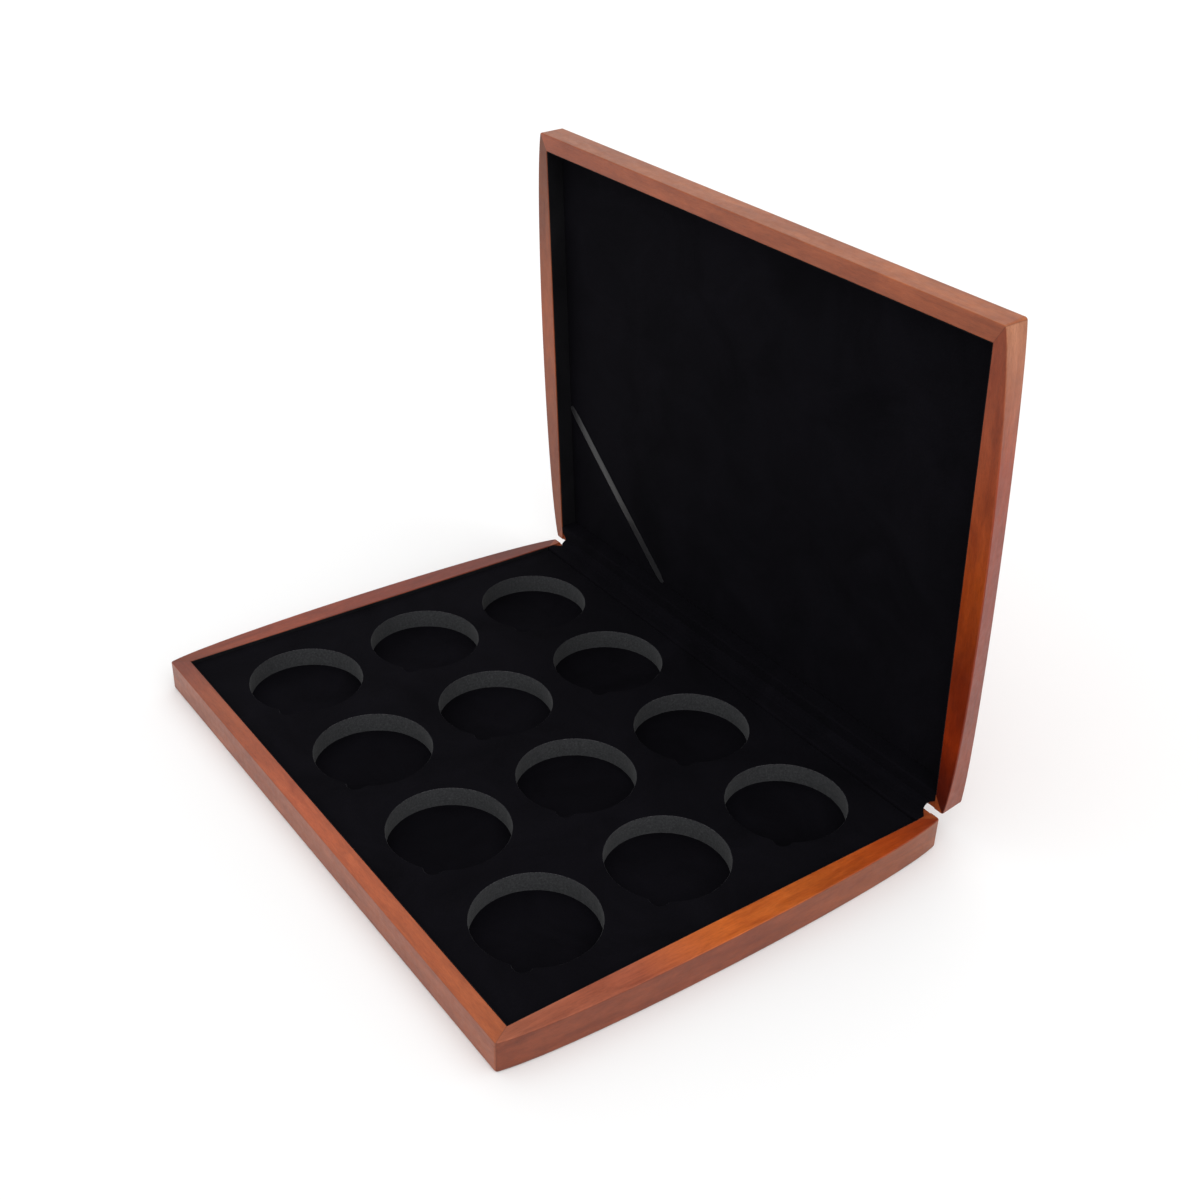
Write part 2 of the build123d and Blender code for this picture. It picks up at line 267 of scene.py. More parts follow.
def welled_sheet(name, node, profile, roll, material):
    """Sheet with the twelve wells. The profile is a list of (distance behind the edge, height)."""
    low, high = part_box(node)
    x_cuts = [low.x + roll, *((a + b) / 2 for a, b in zip(columns, columns[1:])), high.x - roll]
    y_cuts = [low.y + roll, *((a + b) / 2 for a, b in zip(rows, rows[1:])), high.y - roll]
    points, faces = [], []

    def add_rows(rows_of_points):
        start, count = len(points), len(rows_of_points[0])
        for row in rows_of_points:
            points.extend(row)
        for k in range(len(rows_of_points) - 1):
            faces.extend(ring_faces(start + k * count, start + (k + 1) * count, count))

    for i, x in enumerate(columns):
        for j, y in enumerate(rows):
            boundary = around(x_cuts[i:i + 2], y_cuts[j:j + 2], SIDE_POINTS)
            edge = well_edge((x, y), boundary)
            out = outward(edge)
            bands = [[(*p, low.z) for p in boundary]]
            for distance, height in profile:
                bands.append([(*(p + d * distance), height) for p, d in zip(edge, out)])
            rim = [p + d * profile[-1][0] for p, d in zip(edge, out)]
            for share in (0.06, 0.16, 0.35, 0.65, 1):       # rings, closer together near the well
                bands.append([
                    (*p.lerp(Vector(b), share), profile[-1][1]) for p, b in zip(rim, boundary)
                ])
            add_rows(bands)

    border = around(x_cuts, y_cuts, SIDE_POINTS)
    skirt = [[(*p, high.z) for p in border]]
    for step in range(1, ROLL_STEPS + 1):
        angle = pi / 2 * step / ROLL_STEPS
        loop = pushed_out(border, roll * sin(angle))
        skirt.append([(*p, high.z - roll * (1 - cos(angle))) for p in loop])
    skirt.append([(*p, low.z) for p in pushed_out(border, roll)])
    skirt.append([(*p, low.z) for p in border])
    add_rows(skirt)
    obj = piece(name, points, faces, BASE, "base", material)
    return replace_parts(obj, node)


# -------------------------------------------------------------------------------- flat sheets and strips
def graded(length, roll):
    """Places along one side of a sheet: close together over the rolled edges, even between them."""
    edge = [roll * (1 - cos(pi / 2 * k / ROLL_STEPS)) for k in range(ROLL_STEPS + 1)]
    middle = spread(roll, length - roll, max(2, round(length / SHEET_STEP)))
    return edge[:-1] + middle + [length - d for d in reversed(edge[:-1])]


def pile_sheet(name, node, place, body, axis, facing, material, roll, wave):
    """Cloth sheet in a CAD sheet's space, its face along an axis and its edges rolled over."""
    low, high = box_in(node, place)
    u_axis, v_axis = [k for k in range(3) if k != axis]
    face, back = (high[axis], low[axis]) if facing > 0 else (low[axis], high[axis])
    us = graded(high[u_axis] - low[u_axis], roll)
    vs = graded(high[v_axis] - low[v_axis], roll)

    def at(u, v, level):
        point = Vector((0, 0, 0))
        point[u_axis], point[v_axis], point[axis] = low[u_axis] + u, low[v_axis] + v, level
        return point

    def sunk(distance):
        return roll - sqrt(max(0, roll * roll - (roll - distance) ** 2)) if distance < roll else 0

    points = []
    for v in vs:
        for u in us:
            drop = hypot(sunk(min(u, us[-1] - u)), sunk(min(v, vs[-1] - v)))
            inside = min(1, min(u, us[-1] - u, v, vs[-1] - v) / RIPPLE_MARGIN)
            ripple = wave * inside * noise.noise(at(u, v, 0) * 40)
            level = face - facing * (min(drop, abs(face - back) * 0.85) + abs(ripple))
            points.append(at(u, v, level))
    faces = grid_faces(0, len(us), len(vs))
    border = grid_border(len(us), len(vs))
    start = len(points)
    for k in border:
        flat = points[k].copy()
        flat[axis] = back
        points.append(flat)
    count = len(border)
    for k in range(count):
        following = (k + 1) % count
        faces.append((border[k], border[following], start + following, start + k))
    faces.append(tuple(start + k for k in reversed(range(count))))
    obj = piece(name, points, faces, place, body, material)
    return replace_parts(obj, node)


# ---------------------------------------------------------------------------------- cloth over the hinge
def strap_line(node, place):
    """Middle of the cloth on one half: up the inner wall, then over the hinge-side rail."""
    low, high = box_in(node, place)
    wall, top = low.y + CLOTH / 2, low.z + CLOTH / 2
    line = [(wall, w) for w in spread(high.z, top + CLOTH_TURN, STRAIGHT_STEPS)]
    for k in range(1, TURN_STEPS):
        angle = pi / 2 * k / TURN_STEPS
        line.append((wall + CLOTH_TURN * (1 - cos(angle)), top + CLOTH_TURN * (1 - sin(angle))))
    landing = axis_point.y - CLOTH_LANDING
    line += [(v, top) for v in spread(wall + CLOTH_TURN, landing, STRAIGHT_STEPS)]
    end = Vector((cos(CLOTH_LIFT), sin(CLOTH_LIFT))) * CLOTH_REACH
    start = Vector((-CLOTH_LANDING, -(top + rim_to_axis)))
    bend = (start, start + Vector((CLOTH_LEAD, 0)), end - CLOTH_LIFT_TANGENT * CLOTH_LEAD, end)
    for k in range(1, LIFT_STEPS):
        t = k / LIFT_STEPS
        weights = ((1 - t) ** 3, 3 * t * (1 - t) ** 2, 3 * t * t * (1 - t), t ** 3)
        point = sum((p * w for p, w in zip(bend, weights)), Vector((0, 0)))
        line.append((axis_point.y + point.x, -(point.y + rim_to_axis)))
    line.append((axis_point.y + end.x, -(end.y + rim_to_axis)))
    return [(place @ Vector((0, v, w))).yz for v, w in line]


def hinge_cloth(material):
    """One strip of cloth from the base's inner wall, over the hinge, to the lid's inner wall."""
    base_line = strap_line("base_hinge_lining", BASE_DOWN)
    lid_line = strap_line("lid_hinge_lining", LID)
    centre = axis_point.yz
    first, last = base_line[-1] - centre, lid_line[-1] - centre
    start, end = atan2(first.y, first.x) % (2 * pi), atan2(last.y, last.x) % (2 * pi)
    bridge = [
        centre + Vector((cos(angle), sin(angle))) * CLOTH_REACH
        for angle in spread(start, end, BRIDGE_STEPS)[1:-1]
    ]
    line = base_line + bridge + lid_line[::-1]
    normals = []
    for k in range(len(line)):
        along = line[min(k + 1, len(line) - 1)] - line[max(k - 1, 0)]
        normals.append(Vector((-along.y, along.x)).normalized())
    low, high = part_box("base_hinge_lining")
    xs = spread(low.x + CLOTH_INSET, high.x - CLOTH_INSET, CLOTH_COLUMNS)
    waist = []
    for middle in line:
        near_gap = 1 - ((middle - centre).length - CLOTH_REACH) / WAIST_SPREAD
        waist.append(1 - CLOTH_WAIST / high.x * min(1, max(0, near_gap)))
    count = 2 * len(line)
    points, faces = [], []
    for x in xs:
        near, far = [], []
        for k, (middle, normal) in enumerate(zip(line, normals)):
            over_gap = max(0, 1 - (middle - centre).length / PUCKER_SPREAD)
            pucker = PUCKER * over_gap * noise.noise(Vector((x * 70, k * 0.05, 3.7)))
            at = middle + normal * pucker
            near.append((x * waist[k], *(at - normal * CLOTH_HALF)))
            far.append((x * waist[k], *(at + normal * CLOTH_HALF)))
        points += near + far[::-1]
    for k in range(len(xs) - 1):
        faces += ring_faces(k * count, (k + 1) * count, count)
    for first_row in (0, (len(xs) - 1) * count):
        for k in range(len(line) - 1):
            faces.append((first_row + k, first_row + k + 1,
                          first_row + count - 2 - k, first_row + count - 1 - k))
    obj = piece("hinge_cloth", points, faces, BASE, None, material)
    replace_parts(obj, "base_hinge_lining", "lid_hinge_lining")
    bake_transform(obj)
    return obj


# ------------------------------------------------------------------------------------------------ ribbon
ribbon_low, ribbon_high = box_in("certificate_ribbon", LID)
ribbon_slope = atan2(ribbon_high.y - ribbon_low.y, ribbon_high.x - ribbon_low.x)


def corner_ribbon(material):
    """Taut satin ribbon across the lid's left hinge corner, its ends tucked in beside the board."""
    board_low, board_high = box_in("lid_velvet", LID)
    start = Vector((ribbon_low.x, ribbon_low.y + RIBBON_WIDTH / 2 / cos(ribbon_slope)))
    end = Vector((ribbon_high.x - RIBBON_WIDTH / 2 / sin(ribbon_slope), ribbon_high.y))
    along = (end - start).normalized()
    across = Vector((-along.y, along.x))
    length = (end - start).length
    points = []
    for side in (-1, 1):
        for s in spread(0, 1, RIBBON_STEPS):
            from_end = min(s, 1 - s) * length
            tuck = max(0, 1 - from_end / RIBBON_TUCK)
            gather = min(1, 0.30 + 0.70 * sqrt(from_end / RIBBON_GATHER))
            depth = board_low.z - 0.12 * MM - 0.22 * MM * sin(pi * s) + 0.5 * MM * tuck ** 2
            drift = 0.10 * MM * noise.noise(Vector((s * 3, 0.3, 0.9)))
            for lane in range(RIBBON_LANES + 1):
                t = lane / RIBBON_LANES - 0.5
                half = RIBBON_THICKNESS / 2 * (1 - abs(2 * t) ** 6 * 0.7)
                curl = 0.10 * MM * (2 * t) ** 2 * sin(pi * s)
                wave = 0.05 * MM * noise.noise(Vector((s * 14, t * 2, 5.1)))
                place = start.lerp(end, s) + across * (t * RIBBON_WIDTH * gather + drift)
                points.append((
                    min(max(place.x, board_low.x), board_high.x),
                    min(max(place.y, board_low.y), board_high.y),
                    depth + curl + wave + side * half,
                ))
    width, height = RIBBON_LANES + 1, RIBBON_STEPS + 1
    layer = width * height
    faces = grid_faces(0, width, height) + grid_faces(layer, width, height)
    border = grid_border(width, height)
    for a, b in zip(border, border[1:] + border[:1]):
        faces.append((a, b, layer + b, layer + a))
    obj = piece("satin_ribbon", points, faces, LID, "lid", material)
    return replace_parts(obj, "certificate_ribbon")


# --------------------------------------------------------------------------------------------- materials
def shader_node(tree, kind, inputs=None, **settings):
    """A shader node with its settings, and its inputs set to values or linked to sockets."""
    made = tree.nodes.new(kind)
    for key, value in settings.items():
        setattr(made, key, value)
    for key, value in (inputs or {}).items():
        if isinstance(value, bpy.types.NodeSocket):
            tree.links.new(value, made.inputs[key])
        else:
            made.inputs[key].default_value = value
    return made


def new_material(name, **shader):
    """A material with one Principled shader whose sockets are set to these values."""
    material = bpy.data.materials.new(name)
    material.use_nodes = True
    tree = material.node_tree
    surface = tree.nodes["Principled BSDF"]
    for key, value in shader.items():
        surface.inputs[key.replace("_", " ")].default_value = value
    return material, tree, surface


def millimetres(tree, turn=(0, 0, 0), offset=(0, 0, 0)):
    """Object coordinates in millimetres, turned so that X follows a direction."""
    place = shader_node(tree, "ShaderNodeTexCoord").outputs["Object"]
    return shader_node(tree, "ShaderNodeMapping", {
        "Vector": place, "Rotation": turn, "Scale": (TO_MM, TO_MM, TO_MM), "Location": offset,
    }).outputs["Vector"]


def stretched(tree, vector, scale):
    """Coordinates multiplied by a scale for each axis."""
    return shader_node(tree, "ShaderNodeVectorMath", {0: vector, 1: scale},
                       operation="MULTIPLY").outputs["Vector"]


def noise_value(tree, vector, scale, detail=3.0, roughness=0.5, distortion=0.0):
    """Fractal noise, 0.5 on average."""
    return shader_node(tree, "ShaderNodeTexNoise", {
        "Vector": vector, "Scale": scale, "Detail": detail,
        "Roughness": roughness, "Distortion": distortion,
    }).outputs["Fac"]


def ramp(tree, value, stops):
    """A colour ramp through (position, colour) stops; a plain number stands for a grey."""
    made = shader_node(tree, "ShaderNodeValToRGB", {"Fac": value})
    elements = made.color_ramp.elements
    while len(elements) < len(stops):
        elements.new(1.0)
    for element, (position, colour) in zip(elements, stops):
        element.position = position
        element.color = (*colour, 1) if isinstance(colour, tuple) else (colour, colour, colour, 1)
    return made.outputs["Color"]


def mix(tree, kind, amount, first, second):
    """Two colours blended; the amount and each colour is a socket or a value."""
    made = shader_node(tree, "ShaderNodeMix", data_type="RGBA", blend_type=kind)
    for key, value in (("Factor", amount), ("A", first), ("B", second)):
        socket = next(s for s in made.inputs if s.name == key and s.enabled)
        if isinstance(value, bpy.types.NodeSocket):
            tree.links.new(value, socket)
        else:
            socket.default_value = value
    return next(s for s in made.outputs if s.enabled)


def bump(tree, height, distance, strength, normal=None):
    """A normal bent by a height, on top of another normal where one is given."""
    inputs = {"Height": height, "Distance": distance, "Strength": strength}
    if normal:
        inputs["Normal"] = normal
    return shader_node(tree, "ShaderNodeBump", inputs).outputs["Normal"]


def math_value(tree, operation, first, second=0.0):
    """Result of one operation on two sockets or values."""
    return shader_node(tree, "ShaderNodeMath", {0: first, 1: second}, operation=operation).outputs[0]


def reach_along(tree, coordinates, direction):
    """Distance from the row frame's origin along a unit direction, in millimetres."""
    along = shader_node(tree, "ShaderNodeVectorMath", {0: coordinates, 1: direction},
                        operation="DOT_PRODUCT").outputs["Value"]
    return math_value(tree, "MULTIPLY", along, TO_MM)


def lifted(stops):
    """Colour stops raised by what the figure takes away on average."""
    return [(at, (r * 1.20, g * 1.30, b * 1.40)) for at, (r, g, b) in stops]


def mitre_line(tree, coordinates, place):
    """Grey value that drops on the glue lines of the four mitres of the half in the frame place."""
    across, start = place.col[1].xyz, place.col[3].xyz
    x = math_value(tree, "ABSOLUTE", reach_along(tree, coordinates, (1, 0, 0)))
    v = reach_along(tree, coordinates, tuple(across))
    v = math_value(tree, "SUBTRACT", v, across.dot(start) * TO_MM)
    v = math_value(tree, "ABSOLUTE", v)
    inner, slope = MITRE_INNER, (MITRE_OUTER - MITRE_INNER).normalized()
    x = math_value(tree, "MULTIPLY", math_value(tree, "SUBTRACT", x, inner.x / MM), slope.y)
    v = math_value(tree, "MULTIPLY", math_value(tree, "SUBTRACT", v, inner.y / MM), slope.x)
    return ramp(tree, math_value(tree, "ABSOLUTE", math_value(tree, "SUBTRACT", x, v)), [
        (0.08, 0.50), (0.24, 1.0),
    ])


def stained_wood_and_painted_light(name, turn, offset, place_of_half, run, rim, side, mitred, shine):
    """Stained cherry under satin lacquer, its grain along the turned X axis.

    The run is (direction, start, end) along the board, in millimetres. Rim and side are its colours
    along that run, on the rim and on every other face; besides the wood's own colour they hold painted
    light and shade, the rim faces set apart from the others by the way they look. Patterns are scaled
    along and across the grain.
    """
    material, tree, surface = new_material(
        name, Specular_IOR_Level=shine, Coat_Weight=0.08, Coat_Roughness=0.15, Coat_IOR=1.5,
    )
    shared = shader_node(tree, "ShaderNodeTexCoord")
    direction, start, end = run
    share = shader_node(tree, "ShaderNodeMapRange", {
        "Value": reach_along(tree, shared.outputs["Object"], direction),
        "From Min": start, "From Max": end,
    }).outputs["Result"]
    # Rim faces take the rim colours and all other faces the side colours: painted light and shade by the way each
    # face looks.
    upward = shader_node(tree, "ShaderNodeVectorMath", {
        0: shared.outputs["Normal"], 1: tuple(-place_of_half.col[2].xyz),
    }, operation="DOT_PRODUCT").outputs["Value"]
    tone_with_painted_light = mix(tree, "MIX", ramp(tree, upward, [(0.45, 0.0), (0.85, 1.0)]),
               ramp(tree, share, lifted(side)), ramp(tree, share, lifted(rim)))
    place = millimetres(tree, turn, offset)
    drift = noise_value(tree, stretched(tree, place, (0.010, 0.045, 0.045)), 1.0, 2)
    figure = noise_value(tree, stretched(tree, place, (0.030, 0.16, 0.16)), 1.0, 4, 0.6, 0.8)
    blotches = noise_value(tree, stretched(tree, place, (0.10, 0.22, 0.22)), 1.0, 3, 0.6)
    streaks = noise_value(tree, stretched(tree, place, (0.055, 1.3, 1.3)), 1.0, 4, 0.6, 0.3)
    flecks = noise_value(tree, stretched(tree, place, (0.35, 3.6, 3.6)), 1.0, 3, 0.6)
    pores = noise_value(tree, stretched(tree, place, (0.55, 9.0, 9.0)), 1.0, 2, 0.5)
    figured = ramp(tree, figure, [(0.30, (0.67, 0.55, 0.46)), (0.50, (0.83, 0.77, 0.71)), (0.70, 1.0)])
    body = mix(tree, "MULTIPLY", 1.0, tone_with_painted_light, figured)
    if mitred:
        seams = mitre_line(tree, shared.outputs["Object"], place_of_half)
        body = mix(tree, "MULTIPLY", 0.55, body, seams)
    for amount, pattern, darkest, clear in (
        (0.40, blotches, (0.35, 0.70), 0.60),
        (0.30, streaks, (0.32, 0.60), 0.60),
        (0.50, flecks, (0.33, 0.62), 0.56),
        (0.50, pores, (0.28, 0.45), 0.36),
        (0.40, drift, (0.30, 0.75), 0.65),
    ):
        body = mix(tree, "MULTIPLY", amount, body, ramp(tree, pattern, [darkest, (clear, 1.0)]))
    tree.links.new(body, surface.inputs["Base Color"])
    gloss = ramp(tree, noise_value(tree, place, 0.35, 4), [(0.3, 0.36), (0.7, 0.46)])
    tree.links.new(gloss, surface.inputs["Roughness"])
    grain = bump(tree, flecks, 0.02 * MM, 0.6)
    grain = bump(tree, pores, 0.02 * MM, 0.6, grain)
    tree.links.new(grain, surface.inputs["Normal"])
    return material


def velvet(name, colour):
    """Short black pile: matt, with a faint sheen and cloudy patches where the pile leans."""
    material, tree, surface = new_material(
        name, Roughness=0.95, Specular_IOR_Level=0.03, Sheen_Weight=0.010,
        Sheen_Roughness=0.45, Sheen_Tint=(0.75, 0.72, 0.90, 1),
    )
    place = millimetres(tree)
    clouds = noise_value(tree, place, 0.030, 4, 0.6, 0.8)
    pile = noise_value(tree, place, 2.6, 3, 0.7)
    shade = ramp(tree, clouds, [
        (0.30, tuple(c * 0.75 for c in colour)),
        (0.70, tuple(c * 1.35 for c in colour)),
    ])
    shade = mix(tree, "MULTIPLY", 0.8, shade, ramp(tree, pile, [(0.30, 0.55), (0.70, 1.0)]))
    tree.links.new(shade, surface.inputs["Base Color"])
    lean = bump(tree, clouds, 0.8 * MM, 0.5)
    tree.links.new(bump(tree, pile, 0.12 * MM, 0.7, lean), surface.inputs["Normal"])
    return material


def cut_edge_and_highlight(name):
    """Grey edge of each well's rolled lip: the cutter's frayed cut through the flock, and a painted highlight."""
    material, tree, surface = new_material(name, Roughness=0.9, Specular_IOR_Level=0.2)
    frayed = noise_value(tree, millimetres(tree), 1.6, 3, 0.6)
    shade = ramp(tree, frayed, [(0.35, (0.012, 0.012, 0.014)), (0.65, (0.075, 0.075, 0.080))])
    tree.links.new(shade, surface.inputs["Base Color"])
    tree.links.new(bump(tree, frayed, 0.06 * MM, 0.7), surface.inputs["Normal"])
    return material


def cut_foam(name):
    """Dark grey closed-cell foam with the open cells of a cut face."""
    material, tree, surface = new_material(
        name, Roughness=0.9, Specular_IOR_Level=0.25, Sheen_Weight=0.05, Sheen_Roughness=0.5,
    )
    place = millimetres(tree)
    cells = shader_node(tree, "ShaderNodeTexVoronoi", {
        "Vector": place, "Scale": 2.4,
    }).outputs["Distance"]
    specks = noise_value(tree, place, 1.1, 4, 0.65)
    shade = ramp(tree, specks, [
        (0.30, (0.024, 0.025, 0.027)),
        (0.55, (0.040, 0.041, 0.044)),
        (0.80, (0.066, 0.067, 0.070)),
    ])
    shade = mix(tree, "MULTIPLY", 0.6, shade, ramp(tree, cells, [(0.08, 0.45), (0.40, 1.0)]))
    tree.links.new(shade, surface.inputs["Base Color"])
    tree.links.new(bump(tree, cells, 0.10 * MM, 0.8), surface.inputs["Normal"])
    return material


def satin(name, slope):
    """Grey-black satin ribbon: close warp threads, fine ribs across, a soft sheen."""
    material, tree, surface = new_material(
        name, Specular_IOR_Level=0.45, Sheen_Weight=0.08, Sheen_Roughness=0.35,
        Anisotropic=0.5,
    )
    place = millimetres(tree, turn=(0, -slope, 0))
    threads = shader_node(tree, "ShaderNodeTexWave", {
        "Vector": place, "Scale": 0.55, "Distortion": 0.6, "Detail": 1.0,
    }, wave_type="BANDS", bands_direction="Z").outputs["Fac"]
    ribs = shader_node(tree, "ShaderNodeTexWave", {
        "Vector": place, "Scale": 0.80, "Distortion": 0.4, "Detail": 1.0,
    }, wave_type="BANDS", bands_direction="X").outputs["Fac"]
    cloudy = noise_value(tree, place, 0.12, 3)
    shade = ramp(tree, threads, [(0.2, (0.010, 0.010, 0.012)), (0.8, (0.024, 0.024, 0.026))])
    shade = mix(tree, "MULTIPLY", 0.5, shade, ramp(tree, cloudy, [(0.3, 0.6), (0.7, 1.0)]))
    tree.links.new(shade, surface.inputs["Base Color"])
    gloss = ramp(tree, ribs, [(0.1, 0.46), (0.9, 0.34)])
    tree.links.new(gloss, surface.inputs["Roughness"])
    woven = bump(tree, threads, 0.02 * MM, 0.5)
    tree.links.new(bump(tree, ribs, 0.02 * MM, 0.5, woven), surface.inputs["Normal"])
    return material


def brass(name):
    """Satin brass with fine drawing lines and a little tarnish."""
    material, tree, surface = new_material(name, Metallic=1.0)
    place = millimetres(tree)
    lines = noise_value(tree, stretched(tree, place, (0.15, 9, 9)), 1.0, 3)
    tarnish = noise_value(tree, place, 0.35, 4, 0.6)
    shade = ramp(tree, tarnish, [(0.35, (0.42, 0.27, 0.10)), (0.65, (0.66, 0.46, 0.19))])
    tree.links.new(shade, surface.inputs["Base Color"])
    gloss = ramp(tree, lines, [(0.3, 0.24), (0.7, 0.40)])
    tree.links.new(gloss, surface.inputs["Roughness"])
    tree.links.new(bump(tree, lines, 0.01 * MM, 0.5), surface.inputs["Normal"])
    return material


def greyboard(name):
    """Plain grey card with short pressed fibres."""
    material, tree, surface = new_material(name, Roughness=0.9, Specular_IOR_Level=0.3)
    place = millimetres(tree)
    pulp = noise_value(tree, place, 0.9, 5, 0.7)
    shade = ramp(tree, pulp, [(0.3, (0.20, 0.185, 0.165)), (0.7, (0.34, 0.32, 0.29))])
    tree.links.new(shade, surface.inputs["Base Color"])
    tree.links.new(bump(tree, pulp, 0.05 * MM, 0.6), surface.inputs["Normal"])
    return material


def dress(name, material):
    """Give a CAD node its material."""
    mesh = nodes[name].data
    mesh.materials.clear()
    mesh.materials.append(material)


# -------------------------------------------------------------------------------------------- CAD pieces
# Grain runs along X on the front and back rails, and from front to hinge on the side rails. The
# rails differ in colour from plank to plank, and their colours also hold painted light: each rim has
# colours of its own apart from the other faces, painted light and shade by the way the faces look;
# the right rims of base and lid darken next to the hinge, painted shade of the lid; the lid's right
# rail grows lighter on its other faces towards the top, a painted highlight. Each board has its
# grain's turn, its run, and its colours along the run on the rim and on the other faces.
along_x = (0, 0, 0)
along_base_side = (0, 0, radians(-90))
along_lid_side = (0, radians(90), 0)
across_case = ((1, 0, 0), -137, 137)
towards_hinge = ((0, 1, 0), -105, 105)
up_lid = ((0, 0, 1), 16, 226)


def plain(colour):
    """Stops of one colour along a whole board."""
    return [(0.0, colour), (1.0, colour)]


boards_and_painted_light = {
    "base_front_rail": (along_x, across_case, [
        (0.0, (0.18, 0.030, 0.013)), (0.2, (0.36, 0.078, 0.024)), (0.45, (0.42, 0.080, 0.023)),
        (1.0, (0.41, 0.090, 0.022)),
    ], [(0.0, (0.29, 0.074, 0.028)), (1.0, (0.31, 0.076, 0.028))]),
    "base_back_rail": (along_x, across_case, plain((0.34, 0.070, 0.018)),
                       plain((0.30, 0.070, 0.020))),
    "base_left_rail": (along_base_side, towards_hinge, [
        (0.0, (0.19, 0.032, 0.009)), (0.25, (0.27, 0.040, 0.010)), (0.5, (0.21, 0.026, 0.007)),
        (1.0, (0.18, 0.021, 0.005)),
    ], plain((0.26, 0.058, 0.018))),
    # Rim darker at the hinge end: painted shade of the lid.
    "base_right_rail": (along_base_side, towards_hinge, [
        (0.0, (0.35, 0.090, 0.038)), (0.28, (0.38, 0.086, 0.036)), (0.46, (0.62, 0.135, 0.020)),
        (0.68, (0.46, 0.094, 0.013)), (0.86, (0.40, 0.058, 0.007)), (1.0, (0.24, 0.028, 0.006)),
    ], [(0.0, (0.21, 0.041, 0.012)), (0.5, (0.22, 0.043, 0.012)), (1.0, (0.28, 0.068, 0.018))]),
    "lid_front_rail": (along_x, across_case, [
        (0.0, (0.31, 0.062, 0.018)), (0.5, (0.36, 0.078, 0.022)), (1.0, (0.31, 0.068, 0.020)),
    ], [(0.0, (0.34, 0.095, 0.030)), (1.0, (0.39, 0.100, 0.026))]),
    "lid_back_rail": (along_x, across_case, plain((0.34, 0.070, 0.018)),
                      plain((0.34, 0.078, 0.022))),
    "lid_left_rail": (along_lid_side, up_lid, [
        (0.0, (0.27, 0.055, 0.010)), (0.35, (0.27, 0.052, 0.009)), (0.55, (0.38, 0.075, 0.013)),
        (0.8, (0.22, 0.045, 0.009)), (1.0, (0.17, 0.038, 0.007)),
    ], plain((0.30, 0.068, 0.020))),
    # Rim dark at the hinge end: painted shade; other faces lighter towards the top: painted highlight.
    "lid_right_rail": (along_lid_side, up_lid, [
        (0.0, (0.06, 0.005, 0.002)), (0.08, (0.11, 0.009, 0.002)), (0.17, (0.26, 0.024, 0.002)),
        (0.32, (0.17, 0.017, 0.002)), (0.52, (0.32, 0.047, 0.003)), (0.7, (0.29, 0.049, 0.011)),
        (1.0, (0.26, 0.051, 0.018)),
    ], [
        (0.0, (0.24, 0.038, 0.008)), (0.5, (0.23, 0.024, 0.004)), (0.75, (0.30, 0.040, 0.006)),
        (1.0, (0.44, 0.165, 0.080)),
    ]),
    "base_floor_panel": (along_x, across_case, plain((0.36, 0.078, 0.020)),
                         plain((0.36, 0.078, 0.020))),
    "lid_top_panel": (along_x, across_case, plain((0.36, 0.082, 0.021)),
                      plain((0.36, 0.082, 0.021))),
}
for k, (part, (turn, run, rim, side)) in enumerate(boards_and_painted_light.items()):
    offset = (137.0 * k, 41.0 * k, 23.0 * k)
    half = LID if part.startswith("lid") else BASE_DOWN
    mitred = part.endswith("rail")
    shine = THIN_LACQUER if part == "lid_right_rail" else LACQUER
    dress(part, stained_wood_and_painted_light(f"stained_wood_and_painted_light_{part}", turn, offset, half, run, rim, side, mitred,
                             shine))

card = greyboard("greyboard")
for part in ("well_floor_card", "lid_backing_card"):
    dress(part, card)

metal = brass("satin_brass")
for part in nodes:
    if "hinge" in part and "lining" not in part:
        dress(part, metal)

pile = velvet("black_velvet", (0.0036, 0.0033, 0.0048))
# The narrow wall strips get a paler copy of the same velvet, painted light that lifts the shade on the recess
# walls.
wall_pile_painted_light = velvet("black_velvet_painted_lighter_on_walls", (0.0092, 0.0090, 0.0104))

# -------------------------------------------------------------------------------------- insert and cloth
foam_low, foam_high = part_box("foam_insert")
wall = [(FOAM_SETBACK, z) for z in spread(foam_low.z, foam_high.z, 8)]
foam_piece = welled_sheet(
    "foam_body", "foam_insert", wall, FOAM_ROLL, cut_foam("cut_foam"),
)

face_low, face_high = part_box("insert_velvet")
lip = [(0, face_low.z)]
for angle in spread(0, pi / 2, LIP_STEPS):
    lip.append((WELL_LIP * (1 - cos(angle)), face_high.z - WELL_LIP * (1 - sin(angle))))
face_piece = welled_sheet(
    "insert_face", "insert_velvet", lip, SHEET_ROLL, pile,
)
# Steep faces of each well's lip take the paler grey material: cut flock and a painted highlight.
face_piece.data.materials.append(cut_edge_and_highlight("flock_edge_and_highlight"))
for polygon in face_piece.data.polygons:
    inner = abs(polygon.center.x) < face_high.x - MM and abs(polygon.center.y) < face_high.y - MM
    if inner and abs(polygon.normal.z) < STEEP_NORMAL:
        polygon.material_index = 1

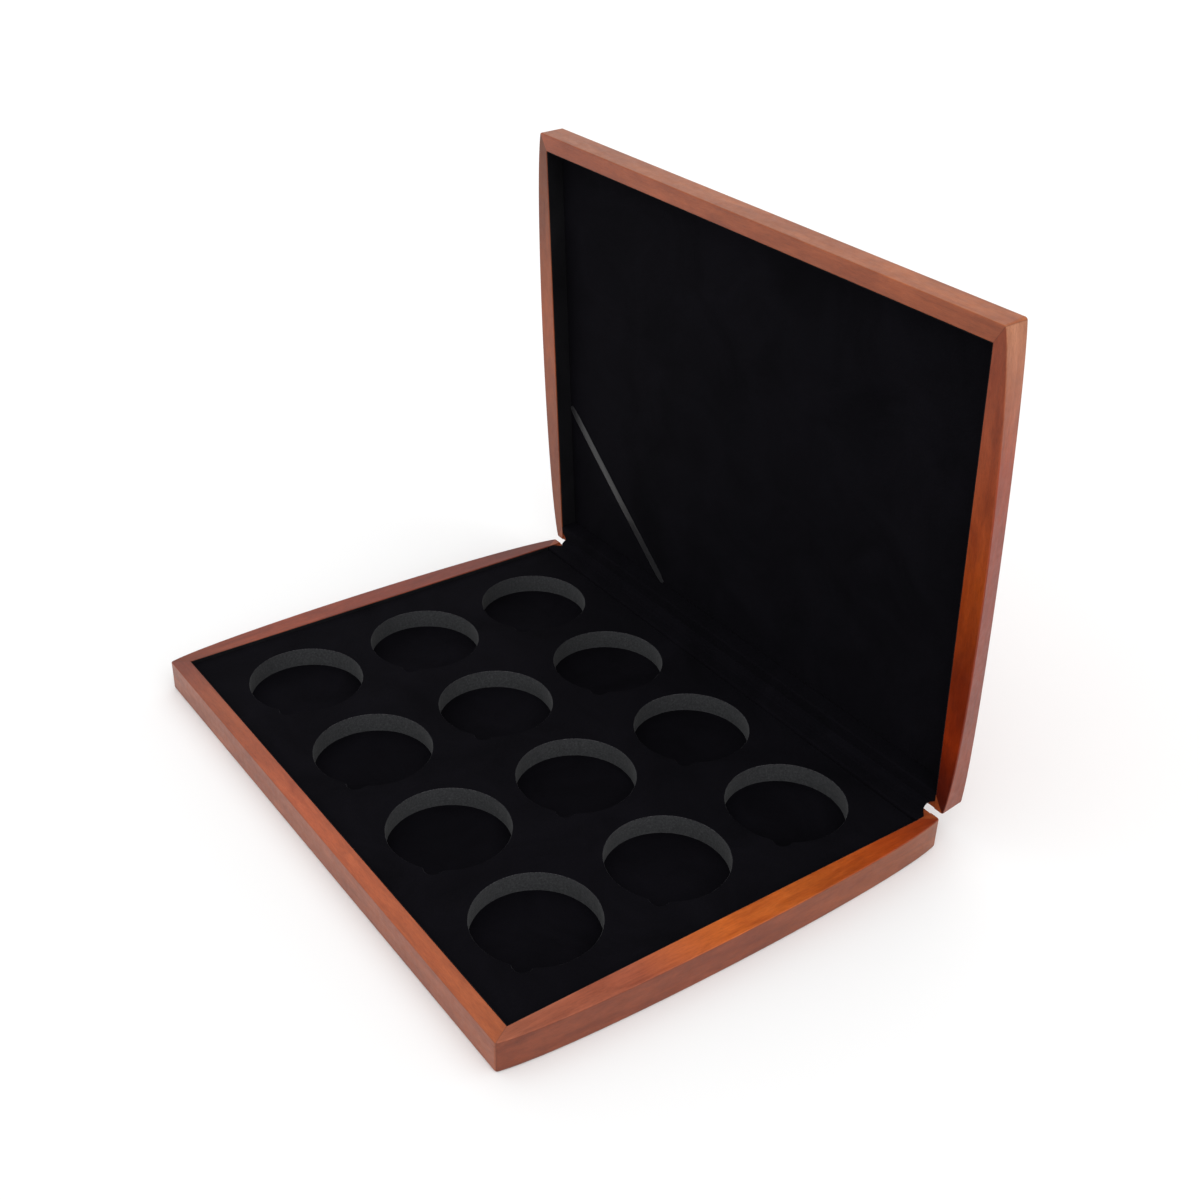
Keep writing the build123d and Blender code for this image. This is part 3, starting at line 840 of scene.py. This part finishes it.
# Name, CAD node, what it is glued to, frame, axis through it, way it faces, roll, ripple in mm.
sheets = (
    ("well_floor_cloth", "well_floor_velvet", "well_floor_card", BASE, 2, 1, SHEET_ROLL, 0.06),
    ("base_front_wall_cloth", "base_front_lining", "base_front_rail", BASE, 1, 1, STRIP_ROLL, 0.03),
    ("base_left_wall_cloth", "base_left_lining", "base_left_rail", BASE, 0, 1, STRIP_ROLL, 0.03),
    ("base_right_wall_cloth", "base_right_lining", "base_right_rail", BASE, 0, -1, STRIP_ROLL, 0.03),
    ("lid_face_cloth", "lid_velvet", "lid_backing_card", LID, 2, -1, SHEET_ROLL, 0.12),
    ("lid_front_wall_cloth", "lid_front_lining", "lid_front_rail", LID, 1, 1, STRIP_ROLL, 0.03),
    ("lid_left_wall_cloth", "lid_left_lining", "lid_left_rail", LID, 0, 1, STRIP_ROLL, 0.03),
    ("lid_right_wall_cloth", "lid_right_lining", "lid_right_rail", LID, 0, -1, STRIP_ROLL, 0.03),
)
for name, part, backing, place, axis, facing, roll, wave in sheets:
    body = "lid" if place is LID else "base"
    # Wall strips take the paler copy, painted light; the wider sheets take the plain velvet.
    nap = wall_pile_painted_light if roll == STRIP_ROLL else pile
    cloth = pile_sheet(name, part, place, body, axis, facing, nap, roll, wave * MM)

hinge_cloth(pile)
corner_ribbon(satin("satin_ribbon", ribbon_slope))

# -------------------------------------------------------------------------------------- floor and lights
floor_mesh = bpy.data.meshes.new("floor")
reach = 6.0
floor_mesh.from_pydata(
    [(-reach, -reach, 0), (reach, -reach, 0), (reach, reach, 0), (-reach, reach, 0)],
    [], [(0, 1, 2, 3)],
)
ground, *_ = new_material("pale_floor", Base_Color=(0.92, 0.92, 0.92, 1), Roughness=0.8)
floor_mesh.materials.append(ground)
floor = bpy.data.objects.new("floor", floor_mesh)
bpy.context.scene.collection.objects.link(floor)

world = bpy.data.worlds.new("studio")
bpy.context.scene.world = world
world.use_nodes = True
sky = world.node_tree.nodes["Background"]
sky.inputs["Color"].default_value = (1, 1, 1, 1)
sky.inputs["Strength"].default_value = 0.95

lamp = bpy.data.lights.new("key", "SUN")
lamp.energy = 0.9
lamp.angle = radians(60)
key = bpy.data.objects.new("key", lamp)
light_path = Vector((-0.62, 0.18, -0.80))
key.rotation_euler = light_path.to_track_quat("-Z", "Y").to_euler()
bpy.context.scene.collection.objects.link(key)

# ------------------------------------------------------------------------------------------------ camera
# The pinhole camera that fits the photograph's edges.
azimuth, elevation, roll_angle = radians(53.345), radians(31.362), radians(1.920)
aim = Vector((-0.07673, 0.09083, 0.0125))
distance = 0.76578
toward = Vector((sin(azimuth) * cos(elevation), -cos(azimuth) * cos(elevation), sin(elevation)))
right = Vector((cos(azimuth), sin(azimuth), 0))
up = toward.cross(right)
level_right = right * cos(roll_angle) + up * sin(roll_angle)
level_up = up * cos(roll_angle) - right * sin(roll_angle)
lens = bpy.data.cameras.new("camera")
lens.sensor_width = 36
lens.lens = 46.73
lens.clip_start = 0.01
camera = bpy.data.objects.new("camera", lens)
camera.matrix_world = Matrix((
    (level_right.x, level_up.x, toward.x, aim.x + toward.x * distance),
    (level_right.y, level_up.y, toward.y, aim.y + toward.y * distance),
    (level_right.z, level_up.z, toward.z, aim.z + toward.z * distance),
    (0, 0, 0, 1),
))
bpy.context.scene.collection.objects.link(camera)
bpy.context.scene.camera = camera
bpy.context.scene.view_settings.view_transform = "Standard"
